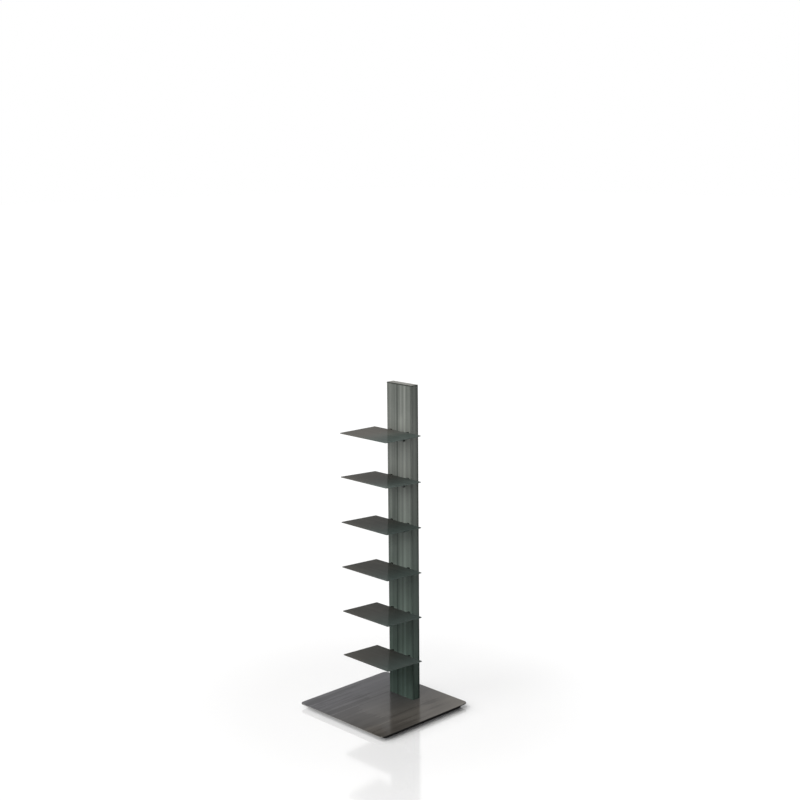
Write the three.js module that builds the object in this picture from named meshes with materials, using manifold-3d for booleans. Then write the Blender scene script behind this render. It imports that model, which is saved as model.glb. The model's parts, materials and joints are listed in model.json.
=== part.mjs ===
// Spine bookshelf: a thin square base plate over a black ballast plate on four levelling glides,
// a flat hollow column near the rear of the base, and six thin steel shelves that stand out in
// front of the column on hidden brackets.
// Millimetres, +Z up. The front faces -Y. The origin is on the floor, under the middle of the base.

import * as THREE from 'three';
import { mergeVertices } from 'three/addons/utils/BufferGeometryUtils.js';
import Module from 'manifold-3d';

const wasm = await Module();
wasm.setup();

// Clearances
const seatGap = 0.3; // between two pieces that rest on or are clamped to each other
const threadGap = 0.3; // round a shank in its hole
const cutOverrun = 1; // how far a cutter runs past the face that it opens

// Base plate and ballast plate
const baseWidth = 350;
const baseDepth = 350;
const baseThickness = 2.5;
const baseCornerRadius = 14;
const ballastSideInset = 7; // from the base plate's edge to the ballast plate's
const ballastFrontInset = 21; // the same at the front and the rear
const ballastWidth = baseWidth - 2 * ballastSideInset;
const ballastDepth = baseDepth - 2 * ballastFrontInset;
const ballastThickness = 8.3;
const ballastCornerRadius = 6;

// Levelling glides: a round pad on a threaded stud
const glideInset = 27; // from the edges of the base plate to the axis of a glide
const glidePadRadius = 9.5;
const glidePadHeight = 2.5;
const glidePadChamfer = 0.6;
const glideStudRadius = 3;
const glideStudLength = 7;

// Column: a folded channel, closed by a flat cover at the back and a cap on top
const columnWidth = 101;
const columnDepth = 27;
const columnWall = 2;
const columnBendRadius = 3; // outside of the two front folds
const columnFrontY = 72; // the plane of the wide front face
const coverThickness = 2;
const coverEdgeRadius = 0.8;
const capThickness = 2.5;
const capPlugDepth = 5;
const capCornerRadius = 1.5;

// Blocks welded inside the channel
const footBlockHeight = 20;
const barHeight = 14;
const coverScrewDrop = 7; // from the top of a block to the screws that hold the cover on it
const blockCornerRadius = 2.5;
const barsBelowShelves = [2, 4]; // a stiffening bar lies half a pitch below each of these shelves

// Shelves, numbered from the top
const shelfCount = 6;
const shelfWidth = 189;
const shelfDepth = 136;
const shelfThickness = 2.5;
const shelfCornerRadius = 1;
const shelfPitch = 133.8;
const lowestShelfHeight = 136.2; // rear edge above the base plate
const topShelfDrop = 135.8; // from the top of the cap down to the top shelf's rear edge
const shelfGap = 7; // between the rear edge of a shelf and the column
const shelfRise = THREE.MathUtils.degToRad(2.9); // the front edge stands higher than the rear
const topShelfRise = THREE.MathUtils.degToRad(0.5); // the top shelf hangs almost level

// Tabs that run from the rear edge of a shelf through slots in the column
const tabWidth = 7;
const tabInset = 16; // from the side of the column to the middle of a tab
const tabOffset = columnWidth / 2 - tabInset;
const tabInsideLength = 6; // past the inner face of the channel
const slotSideGap = 1.2;
const slotHeightGap = 0.5;

// Bracket under each shelf: two cheeks and a web, folded from one sheet
const bracketWidth = 46;
const bracketThickness = 2.5;
const bracketDrop = 29.5; // below the top of the shelf's rear edge
const bracketReach = 46; // in front of the shelf's rear edge
const bracketNose = 3; // height of the cheeks at the front
const bracketTopDrop = 6; // the web starts this far below the top of the shelf
const bracketSetback = 1; // the cheeks start this far in front of the shelf's rear edge
const bracketFootLength = 4; // level run of the cheeks' lower edge next to the web
const bracketCurveShare = 0.35; // how far the lower edge's curve point lies towards the corner

// Screws: the bite is how far a shank runs into, or past, the piece that it holds on to
const headSink = 0.4; // how far a head lies below the surface round it
const shelfScrewBite = 0.6;
const coverScrewBite = 8.5;
const ballastScrewBite = 1.8;
const footBoltBite = 8;
const shelfScrew = { headRadius: 4.4, headHeight: 2.6, shankRadius: 2.4 };
const coverScrew = { headRadius: 4.4, headHeight: 1.6, shankRadius: 2.4 };
const ballastScrew = { headRadius: 5, headHeight: 2.4, shankRadius: 2.4 };
const footBolt = { headRadius: 6.5, headHeight: 4.4, shankRadius: 3.9 };
shelfScrew.length = shelfScrew.headHeight + columnWall + bracketThickness + 2 * seatGap + shelfScrewBite;
coverScrew.length = coverThickness + seatGap + coverScrewBite - headSink;
ballastScrew.length = ballastThickness + seatGap + ballastScrewBite - headSink;
footBolt.length = ballastThickness + baseThickness + 2 * seatGap + footBoltBite - headSink;
const socketDepthShare = 0.5; // of the head's height
const socketWidthShare = 0.5; // of the head's radius
const socketSides = 6;
const shelfScrewOffset = 7.5; // to each side of the column's middle
const shelfScrewDrop = 15; // below the top of the shelf's rear edge
const coverScrewInset = 20.5; // from the side of the column
const coverScrewOffset = columnWidth / 2 - coverScrewInset;
const footBoltInset = 18.5; // from the side of the column
const footBoltOffset = columnWidth / 2 - footBoltInset;
const ballastScrewInset = 45; // from the edges of the ballast plate

// Roundness
const roundSides = 14;
const cornerSteps = 4;

// Heights that follow from the stack, measured from the floor
const ballastBottomZ = glidePadHeight + seatGap;
const ballastTopZ = ballastBottomZ + ballastThickness;
const baseBottomZ = ballastTopZ + seatGap;
const baseTopZ = baseBottomZ + baseThickness;
const columnBottomZ = baseTopZ + seatGap;
const topShelfZ = baseTopZ + lowestShelfHeight + (shelfCount - 1) * shelfPitch;
const columnTopZ = topShelfZ + topShelfDrop;
const shellTopZ = columnTopZ - capThickness - seatGap;

// Planes across the column
const columnBackY = columnFrontY + columnDepth;
const coverFrontY = columnBackY - coverThickness;
const shellBackY = coverFrontY - seatGap;
const shellInsideY = columnFrontY + columnWall;
const columnMidY = columnFrontY + columnDepth / 2;
const shelfBackY = columnFrontY - shelfGap;

const finishes = {
  base: { color: 0x66656a, roughness: 0.28, metalness: 0.85 },
  column: { color: 0x6b6c69, roughness: 0.32, metalness: 0.85 },
  shelf: { color: 0x55544f, roughness: 0.35, metalness: 0.8 },
  bracket: { color: 0x3a3d3a, roughness: 0.45, metalness: 0.7 },
  ballast: { color: 0x121212, roughness: 0.6, metalness: 0.2 },
  glide: { color: 0x0d0d0d, roughness: 0.7, metalness: 0 },
  inside: { color: 0x5c5e5f, roughness: 0.5, metalness: 0.9 },
  screw: { color: 0x2b2c2d, roughness: 0.4, metalness: 0.9 },
};

const bookshelf = new THREE.Group();

function addPiece(name, geometry, finish, parent = bookshelf) {
  const mesh = new THREE.Mesh(geometry, new THREE.MeshStandardMaterial(finishes[finish]));
  mesh.name = name;
  parent.add(mesh);
  return mesh;
}

// Joins and cuts

function toSolid(geometry) {
  const bare = geometry.clone();
  bare.deleteAttribute('normal');
  bare.deleteAttribute('uv');
  const merged = mergeVertices(bare);
  return new wasm.Manifold(new wasm.Mesh({
    numProp: 3,
    vertProperties: new Float32Array(merged.attributes.position.array),
    triVerts: new Uint32Array(merged.index.array),
  }));
}

function toGeometry(solid) {
  const mesh = solid.getMesh();
  const geometry = new THREE.BufferGeometry();
  geometry.setAttribute('position', new THREE.BufferAttribute(mesh.vertProperties, 3));
  geometry.setIndex(new THREE.BufferAttribute(mesh.triVerts, 1));
  geometry.computeVertexNormals();
  return geometry;
}

function cut(geometry, cutters) {
  return toGeometry(cutters.reduce((solid, cutter) => solid.subtract(toSolid(cutter)), toSolid(geometry)));
}

function join(geometries) {
  const [first, ...rest] = geometries.map(toSolid);
  return toGeometry(rest.reduce((solid, other) => solid.add(other), first));
}

// Basic forms

function roundedRectangle(width, depth, radius) {
  const x = width / 2;
  const y = depth / 2;
  const shape = new THREE.Shape();
  shape.absarc(x - radius, y - radius, radius, 0, Math.PI / 2);
  shape.absarc(radius - x, y - radius, radius, Math.PI / 2, Math.PI);
  shape.absarc(radius - x, radius - y, radius, Math.PI, 1.5 * Math.PI);
  shape.absarc(x - radius, radius - y, radius, 1.5 * Math.PI, 2 * Math.PI);
  shape.closePath();
  return shape;
}

function slab(shape, height) {
  return new THREE.ExtrudeGeometry(shape, { depth: height, bevelEnabled: false, curveSegments: cornerSteps });
}

function plate(width, depth, height, radius) {
  return slab(roundedRectangle(width, depth, radius), height);
}

// A round bar from z = 0 upwards
function bar(radius, height) {
  const geometry = new THREE.CylinderGeometry(radius, radius, height, roundSides);
  return geometry.rotateX(Math.PI / 2).translate(0, 0, height / 2);
}

// A cone from z = 0 upwards, wide at the bottom
function cone(bottomRadius, topRadius, height) {
  const geometry = new THREE.CylinderGeometry(topRadius, bottomRadius, height, roundSides);
  return geometry.rotateX(Math.PI / 2).translate(0, 0, height / 2);
}

// Screws stand on their heads: the head's outer face is at z = 0 and the shank points up

function hexSocket(size) {
  const depth = size.headHeight * socketDepthShare;
  const radius = size.headRadius * socketWidthShare;
  const socket = new THREE.CylinderGeometry(radius, radius, depth + cutOverrun, socketSides);
  return socket.rotateX(Math.PI / 2).translate(0, 0, (depth - cutOverrun) / 2);
}

function roundHeadScrew(size) {
  const head = bar(size.headRadius, size.headHeight);
  return cut(join([head, bar(size.shankRadius, size.length)]), [hexSocket(size)]);
}

function flatHeadScrew(size) {
  const head = cone(size.headRadius, size.shankRadius, size.headHeight);
  return cut(join([head, bar(size.shankRadius, size.length)]), [hexSocket(size)]);
}

// The hole that a flat head sinks into, with its mouth at z = 0
function countersink(size, depth) {
  const gap = threadGap;
  const slope = (size.headRadius - size.shankRadius) / size.headHeight;
  const mouth = size.headRadius + gap + slope * (headSink + cutOverrun);
  const sink = cone(mouth, size.shankRadius + gap, size.headHeight + headSink + cutOverrun);
  return join([sink.translate(0, 0, -cutOverrun), bar(size.shankRadius + gap, depth)]);
}

const acrossColumn = geometry => geometry.rotateX(-Math.PI / 2); // from +Z round to +Y
const againstColumn = geometry => geometry.rotateX(Math.PI / 2); // from +Z round to -Y

// Places that several pieces share

const corners = [
  { corner: 'front_left', x: -1, y: -1 },
  { corner: 'front_right', x: 1, y: -1 },
  { corner: 'rear_left', x: -1, y: 1 },
  { corner: 'rear_right', x: 1, y: 1 },
];
const fourPlaces = (width, depth, inset) => corners.map(({ corner, x, y }) => (
  { corner, x: x * (width / 2 - inset), y: y * (depth / 2 - inset) }));
const glidePlaces = fourPlaces(baseWidth, baseDepth, glideInset);
const ballastScrewPlaces = fourPlaces(ballastWidth, ballastDepth, ballastScrewInset);
const footBoltPlaces = [-1, 0, 1].map(side => side * footBoltOffset);
const footBoltMouth = footBolt.headHeight + headSink;

const shelves = Array.from({ length: shelfCount }, (_, index) => ({
  number: index + 1,
  rearZ: topShelfZ - index * shelfPitch,
  rise: index === 0 ? topShelfRise : shelfRise,
}));

const topBarZ = shellTopZ - capPlugDepth - seatGap - barHeight;
const insideBars = [
  ...barsBelowShelves.map(number => shelves[number - 1].rearZ - (shelfPitch + barHeight) / 2),
  topBarZ,
];
const footBlockZ = columnBottomZ;
const blockTops = [footBlockZ + footBlockHeight, ...insideBars.map(z => z + barHeight)];
const coverScrewHeights = blockTops.map(z => z - coverScrewDrop);

// Base

function basePlate() {
  const holes = footBoltPlaces.map(x =>
    bar(footBolt.shankRadius + threadGap, baseThickness + 2 * cutOverrun)
      .translate(x, columnMidY, -cutOverrun));
  const tapped = ballastScrewPlaces.map(({ x, y }) =>
    bar(ballastScrew.shankRadius + threadGap, cutOverrun + ballastScrewBite + seatGap)
      .translate(x, y, -cutOverrun));
  return cut(plate(baseWidth, baseDepth, baseThickness, baseCornerRadius), [...holes, ...tapped]);
}

function ballastPlate() {
  const through = ballastThickness + 2 * cutOverrun;
  const glideHoles = glidePlaces.map(({ x, y }) =>
    bar(glideStudRadius + threadGap, through).translate(x, y, -cutOverrun));
  const boltHoles = footBoltPlaces.map(x => join([
    bar(footBolt.headRadius + threadGap, footBoltMouth + cutOverrun),
    bar(footBolt.shankRadius + threadGap, through),
  ]).translate(x, columnMidY, -cutOverrun));
  const screwHoles = ballastScrewPlaces.map(({ x, y }) =>
    countersink(ballastScrew, ballastThickness + cutOverrun).translate(x, y, 0));
  const blank = plate(ballastWidth, ballastDepth, ballastThickness, ballastCornerRadius);
  return cut(blank, [...glideHoles, ...boltHoles, ...screwHoles]);
}

// The glide turns on its thread, so its profile is spun round its own axis
function glide() {
  const top = glidePadHeight;
  const profile = [
    [0, 0],
    [glidePadRadius - glidePadChamfer, 0],
    [glidePadRadius, glidePadChamfer],
    [glidePadRadius, top - glidePadChamfer],
    [glidePadRadius - glidePadChamfer, top],
    [glideStudRadius, top],
    [glideStudRadius, top + glideStudLength],
    [0, top + glideStudLength],
  ];
  const points = profile.map(([radius, height]) => new THREE.Vector2(radius, height));
  return new THREE.LatheGeometry(points, roundSides).rotateX(Math.PI / 2);
}

// Column

function channelShape() {
  const outerX = columnWidth / 2;
  const innerX = outerX - columnWall;
  const bend = columnBendRadius;
  const innerBend = columnBendRadius - columnWall;
  const shape = new THREE.Shape();
  shape.moveTo(outerX, shellBackY);
  shape.lineTo(innerX, shellBackY);
  shape.absarc(innerX - innerBend, shellInsideY + innerBend, innerBend, 0, -Math.PI / 2, true);
  shape.absarc(innerBend - innerX, shellInsideY + innerBend, innerBend, -Math.PI / 2, -Math.PI, true);
  shape.lineTo(-innerX, shellBackY);
  shape.lineTo(-outerX, shellBackY);
  shape.absarc(bend - outerX, columnFrontY + bend, bend, -Math.PI, -Math.PI / 2);
  shape.absarc(outerX - bend, columnFrontY + bend, bend, -Math.PI / 2, 0);
  shape.closePath();
  return shape;
}

// Height of a shelf's upper face above its rear edge, at a distance behind that edge
const shelfFall = (rise, behind) => -behind * Math.tan(rise);

function tabSlots(shelf) {
  const front = shelfFall(shelf.rise, shelfGap);
  const back = shelfFall(shelf.rise, shelfGap + columnWall);
  const upper = front + slotHeightGap;
  const lower = back - shelfThickness / Math.cos(shelf.rise) - slotHeightGap;
  return [-1, 1].map(side => new THREE.BoxGeometry(
    tabWidth + 2 * slotSideGap, columnWall + 2 * cutOverrun, upper - lower)
    .translate(side * tabOffset, columnFrontY + columnWall / 2, shelf.rearZ + (upper + lower) / 2));
}

function shelfScrewHoles(shelf) {
  const length = columnWall + 2 * cutOverrun;
  return [-1, 1].map(side => acrossColumn(bar(shelfScrew.shankRadius + threadGap, length))
    .translate(side * shelfScrewOffset, columnFrontY - cutOverrun, shelf.rearZ - shelfScrewDrop));
}

function columnShell() {
  const blank = slab(channelShape(), shellTopZ - columnBottomZ).translate(0, 0, columnBottomZ);
  return cut(blank, shelves.flatMap(shelf => [...tabSlots(shelf), ...shelfScrewHoles(shelf)]));
}

function columnCover() {
  const height = shellTopZ - columnBottomZ;
  const blank = plate(columnWidth, coverThickness, height, coverEdgeRadius)
    .translate(0, coverFrontY + coverThickness / 2, columnBottomZ);
  const holes = coverScrewHeights.flatMap(z => [-1, 1].map(side =>
    againstColumn(countersink(coverScrew, coverThickness + cutOverrun))
      .translate(side * coverScrewOffset, columnBackY, z)));
  return cut(blank, holes);
}

const insideWidth = columnWidth - 2 * (columnWall + seatGap);
const insideDepth = coverFrontY - shellInsideY - 2 * seatGap;
const insideMidY = (coverFrontY + shellInsideY) / 2;

function columnCap() {
  const top = plate(columnWidth, columnDepth, capThickness, capCornerRadius)
    .translate(0, columnMidY, columnTopZ - capThickness);
  const plugTopZ = columnTopZ - capThickness / 2;
  const plugBottomZ = shellTopZ - capPlugDepth;
  const plug = plate(insideWidth, insideDepth, plugTopZ - plugBottomZ, blockCornerRadius)
    .translate(0, insideMidY, plugBottomZ);
  return join([top, plug]);
}

// A block across the inside of the channel, tapped for the cover's screws
function insideBlock(bottomZ, height, extraHoles = []) {
  const blank = plate(insideWidth, insideDepth, height, blockCornerRadius)
    .translate(0, insideMidY, bottomZ);
  const holes = [-1, 1].map(side =>
    againstColumn(bar(coverScrew.shankRadius + threadGap, cutOverrun + coverScrewBite + seatGap))
      .translate(side * coverScrewOffset, coverFrontY - seatGap + cutOverrun, bottomZ + height - coverScrewDrop));
  return cut(blank, [...holes, ...extraHoles]);
}

function footBlock() {
  const holes = footBoltPlaces.map(x =>
    bar(footBolt.shankRadius + threadGap, cutOverrun + footBoltBite + seatGap)
      .translate(x, columnMidY, footBlockZ - cutOverrun));
  return insideBlock(footBlockZ, footBlockHeight, holes);
}

// Shelves, drawn with the rear edge's upper corner at the origin

function shelfSheet() {
  const halfWidth = shelfWidth / 2;
  const tabLength = shelfGap + columnWall + tabInsideLength;
  const radius = shelfCornerRadius;
  const shape = new THREE.Shape();
  shape.absarc(radius - halfWidth, radius - shelfDepth, radius, -Math.PI, -Math.PI / 2);
  shape.absarc(halfWidth - radius, radius - shelfDepth, radius, -Math.PI / 2, 0);
  shape.absarc(halfWidth - radius, -radius, radius, 0, Math.PI / 2);
  for (const side of [1, -1]) {
    shape.lineTo(side * tabOffset + tabWidth / 2, 0);
    shape.lineTo(side * tabOffset + tabWidth / 2, tabLength);
    shape.lineTo(side * tabOffset - tabWidth / 2, tabLength);
    shape.lineTo(side * tabOffset - tabWidth / 2, 0);
  }
  shape.absarc(radius - halfWidth, -radius, radius, Math.PI / 2, Math.PI);
  shape.closePath();
  return slab(shape, shelfThickness).translate(0, 0, -shelfThickness);
}

// The cheek's outline in a (forward, up) plane, from the shelf's rear upper edge
function cheekShape(rise) {
  const underside = forward => forward * Math.tan(rise) - shelfThickness / Math.cos(rise) - seatGap;
  const back = seatGap - shelfGap;
  const foot = back + bracketThickness + bracketFootLength;
  const curveForward = THREE.MathUtils.lerp(bracketReach, foot, bracketCurveShare);
  const noseUp = underside(bracketReach) - bracketNose;
  const shape = new THREE.Shape();
  shape.moveTo(back, -bracketTopDrop);
  shape.lineTo(back, -bracketDrop);
  shape.lineTo(foot, -bracketDrop);
  shape.quadraticCurveTo(foot, noseUp, curveForward, noseUp);
  shape.lineTo(bracketReach, noseUp);
  shape.lineTo(bracketReach, underside(bracketReach));
  shape.lineTo(bracketSetback, underside(bracketSetback));
  shape.lineTo(bracketSetback, -bracketTopDrop);
  shape.closePath();
  return shape;
}

function shelfBracket(rise) {
  // the cheek is drawn in the (x, y) plane, then stood up: x turns to -Y and y to +Z
  const blank = slab(cheekShape(rise), bracketWidth)
    .translate(0, 0, -bracketWidth / 2)
    .rotateX(Math.PI / 2)
    .rotateZ(-Math.PI / 2);
  const webFrontY = shelfGap - seatGap - bracketThickness;
  const hollow = new THREE.BoxGeometry(
    bracketWidth - 2 * bracketThickness, bracketReach + webFrontY + cutOverrun, 2 * bracketDrop)
    .translate(0, (webFrontY - bracketReach - cutOverrun) / 2, -bracketDrop / 2);
  const holes = [-1, 1].map(side =>
    acrossColumn(bar(shelfScrew.shankRadius + threadGap, bracketThickness + 2 * cutOverrun))
      .translate(side * shelfScrewOffset, webFrontY - cutOverrun, -shelfScrewDrop));
  return cut(blank, [hollow, ...holes]);
}

// Assembly

addPiece('base_plate', basePlate(), 'base').position.z = baseBottomZ;
addPiece('ballast_plate', ballastPlate(), 'ballast').position.z = ballastBottomZ;

for (const { corner, x, y } of glidePlaces) {
  addPiece(`levelling_glide_${corner}`, glide(), 'glide').position.set(x, y, 0);
}

for (const { corner, x, y } of ballastScrewPlaces) {
  addPiece(`ballast_screw_${corner}`, flatHeadScrew(ballastScrew), 'screw')
    .position.set(x, y, ballastBottomZ + headSink);
}

footBoltPlaces.forEach((x, index) => {
  addPiece(`foot_bolt_${index + 1}`, roundHeadScrew(footBolt), 'screw')
    .position.set(x, columnMidY, ballastBottomZ + headSink);
});

addPiece('column_shell', columnShell(), 'column');
addPiece('column_back_cover', columnCover(), 'column');
addPiece('column_cap', columnCap(), 'column');
addPiece('column_foot_block', footBlock(), 'inside');
insideBars.forEach((z, index) => {
  addPiece(`column_bar_${index + 1}`, insideBlock(z, barHeight), 'inside');
});

coverScrewHeights.forEach((z, row) => {
  for (const [side, sideName] of [[-1, 'left'], [1, 'right']]) {
    const screw = againstColumn(flatHeadScrew(coverScrew));
    addPiece(`cover_screw_${row + 1}_${sideName}`, screw, 'screw')
      .position.set(side * coverScrewOffset, columnBackY - headSink, z);
  }
});

for (const shelf of shelves) {
  const place = new THREE.Group();
  place.position.set(0, shelfBackY, shelf.rearZ);
  bookshelf.add(place);

  addPiece(`shelf_${shelf.number}`, shelfSheet(), 'shelf', place).rotation.x = -shelf.rise;
  addPiece(`shelf_bracket_${shelf.number}`, shelfBracket(shelf.rise), 'bracket', place);
  for (const [side, sideName] of [[-1, 'left'], [1, 'right']]) {
    const screw = againstColumn(roundHeadScrew(shelfScrew));
    const headY = shelfGap + columnWall + seatGap + shelfScrew.headHeight;
    addPiece(`shelf_screw_${shelf.number}_${sideName}`, screw, 'screw', place)
      .position.set(side * shelfScrewOffset, headY, -shelfScrewDrop);
  }
}

export default bookshelf;
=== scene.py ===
import json
import math

import bmesh
import bpy
from mathutils import Matrix, Vector


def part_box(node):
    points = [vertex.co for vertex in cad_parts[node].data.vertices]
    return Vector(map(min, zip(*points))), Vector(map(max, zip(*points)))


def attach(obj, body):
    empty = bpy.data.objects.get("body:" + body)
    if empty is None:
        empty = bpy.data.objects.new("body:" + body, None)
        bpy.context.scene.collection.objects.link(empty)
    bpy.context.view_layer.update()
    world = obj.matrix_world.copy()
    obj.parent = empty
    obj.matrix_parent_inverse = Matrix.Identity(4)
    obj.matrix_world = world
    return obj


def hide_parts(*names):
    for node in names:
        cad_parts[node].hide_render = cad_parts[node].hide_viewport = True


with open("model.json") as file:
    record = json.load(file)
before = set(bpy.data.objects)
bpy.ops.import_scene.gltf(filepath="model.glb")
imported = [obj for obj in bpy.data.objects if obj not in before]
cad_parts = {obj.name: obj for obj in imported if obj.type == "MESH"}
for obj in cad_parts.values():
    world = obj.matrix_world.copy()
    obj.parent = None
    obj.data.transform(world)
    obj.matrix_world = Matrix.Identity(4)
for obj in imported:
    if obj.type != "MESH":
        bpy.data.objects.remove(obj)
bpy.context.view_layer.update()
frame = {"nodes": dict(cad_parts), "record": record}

mm = 0.001
tiny = 0.01 * mm  # two places closer than this are the same
overrun = 1 * mm  # how far a cutter reaches past the face that it opens
sheetCut = 5 * mm  # carries a cutter right through a sheet, or well clear of it
square = 0.9  # a face lies square to an axis when its normal has more than this along it
smoothAngle = math.radians(35)  # edges that turn less than this are shaded smooth
flatAngle = math.radians(1)  # faces that meet at less than this become one
standBody = "stand"
nodes = frame["nodes"]
print("frame loaded:", len(nodes), "nodes")


# Helpers for modelling

def makeActive(piece):
    if bpy.context.mode != "OBJECT":
        bpy.ops.object.mode_set(mode="OBJECT")
    bpy.ops.object.select_all(action="DESELECT")
    piece.select_set(True)
    bpy.context.view_layer.objects.active = piece


def settlePlace(piece):  # moves the object's place into its mesh
    makeActive(piece)
    bpy.ops.object.transform_apply(location=True, rotation=True, scale=True)


def addBox(name, low, high):
    bpy.ops.object.select_all(action="DESELECT")
    centre = [(a + b) / 2 for a, b in zip(low, high)]
    spans = [b - a for a, b in zip(low, high)]
    bpy.ops.mesh.primitive_cube_add(size=1, location=centre, scale=spans)
    piece = bpy.context.object
    piece.name = piece.data.name = name
    settlePlace(piece)
    return piece


def addDrum(name, foot, radius, height, topRadius=None, sides=48, turn=(0, 0, 0)):
    # a cylinder or cone that stands on foot, then turned about it
    bpy.ops.object.select_all(action="DESELECT")
    top = radius if topRadius is None else topRadius
    bpy.ops.mesh.primitive_cone_add(vertices=sides, radius1=radius, radius2=top, depth=height,
                                    location=(0, 0, height / 2))
    piece = bpy.context.object
    piece.name = piece.data.name = name
    settlePlace(piece)
    piece.rotation_euler = turn
    piece.location = foot
    settlePlace(piece)
    return piece


def pick(piece, kind, wanted):  # opens the piece in edit mode with the wanted edges or faces selected
    makeActive(piece)
    bpy.ops.object.mode_set(mode="EDIT")
    bpy.ops.mesh.select_mode(type=kind)
    bpy.ops.mesh.select_all(action="DESELECT")
    shell = bmesh.from_edit_mesh(piece.data)
    for part in list(shell.edges if kind == "EDGE" else shell.faces):
        if wanted(part):
            part.select_set(True)
    shell.select_flush_mode()
    bmesh.update_edit_mesh(piece.data)


def roundEdges(piece, wanted, radius, steps):
    pick(piece, "EDGE", wanted)
    bpy.ops.mesh.bevel(offset=radius, offset_type="OFFSET", segments=steps, profile=0.5, affect="EDGES")
    bpy.ops.object.mode_set(mode="OBJECT")


def upright(edge):
    a, b = (corner.co for corner in edge.verts)
    return abs(a.x - b.x) < tiny and abs(a.y - b.y) < tiny


def atHeights(*heights):
    return lambda edge: any(all(abs(corner.co.z - z) < tiny for corner in edge.verts) for z in heights)


def joinPieces(pieces):
    makeActive(pieces[0])
    for piece in pieces:
        piece.select_set(True)
    bpy.ops.object.join()
    return bpy.context.object


def cutAway(piece, cutters):
    cutter = joinPieces(cutters)
    change = piece.modifiers.new("cut", "BOOLEAN")
    change.operation = "DIFFERENCE"
    change.solver = "EXACT"
    change.object = cutter
    makeActive(piece)
    bpy.ops.object.modifier_apply(modifier=change.name)
    bpy.data.objects.remove(cutter, do_unlink=True)


def copyPiece(piece, name, place, turn=(0, 0, 0)):
    copy = piece.copy()
    copy.data = piece.data.copy()
    copy.name = copy.data.name = name
    bpy.context.scene.collection.objects.link(copy)
    copy.location = place
    copy.rotation_euler = turn
    settlePlace(copy)
    return copy


def standFor(piece, node, slot, body=standBody, material=None):  # in the slot's material, or in one given
    makeActive(piece)
    bpy.ops.object.shade_smooth_by_angle(angle=smoothAngle)
    flats = piece.modifiers.new("flats", "WEIGHTED_NORMAL")  # keeps flat faces flat beside rounded edges
    flats.keep_sharp = True
    bpy.ops.object.modifier_apply(modifier=flats.name)
    piece.data.materials.clear()
    piece.data.materials.append(material or slotMaterials[slot])
    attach(piece, body)
    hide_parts(node)


# Helpers for materials

noiseLow, noiseHigh = 0.3, 0.7  # most values of a noise texture lie between these


def linearColour(hexText):  # sRGB hex to linear
    levels = [int(hexText[i:i + 2], 16) / 255 for i in (1, 3, 5)]
    return [v / 12.92 if v <= 0.04045 else ((v + 0.055) / 1.055) ** 2.4 for v in levels] + [1]


def addNode(tree, kind, settings, inputs):
    node = tree.nodes.new(kind)
    for name, value in settings.items():
        setattr(node, name, value)
    for socket, value in inputs.items():
        if isinstance(value, bpy.types.NodeSocket):
            tree.links.new(value, node.inputs[socket])
        else:
            node.inputs[socket].default_value = value
    return node


def newMaterial(name):
    material = bpy.data.materials.new(name)
    material.use_nodes = True
    material.node_tree.nodes.clear()
    return material


# Burnished steel: sheet steel, darkened, brushed along one direction, then clear-lacquered. Long soft bands
# lie along the brushing, with finer lines in them, and the lacquer adds a thin clean gloss. A real scratch is
# about 0.1 mm wide. The lines are drawn 1.6 to 3 mm wide, since finer ones don't show at this size.

brushedLayers = {"band": {"Detail": 2, "Roughness": 0.55}, "line": {"Detail": 3, "Roughness": 0.6},
                 "cloud": {"Detail": 2, "Roughness": 0.5}}
paintedShadeFrom, paintedShadeTo = -0.6, -1.2  # a tone turns from its colour at the first to the painted shade's black at the second
rimFrom, rimTo = 0.4, 0.8  # how squarely a face looks along an axis, from not a rim to a rim
polishSwing = 0.05  # how far the lines move the roughness


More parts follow.
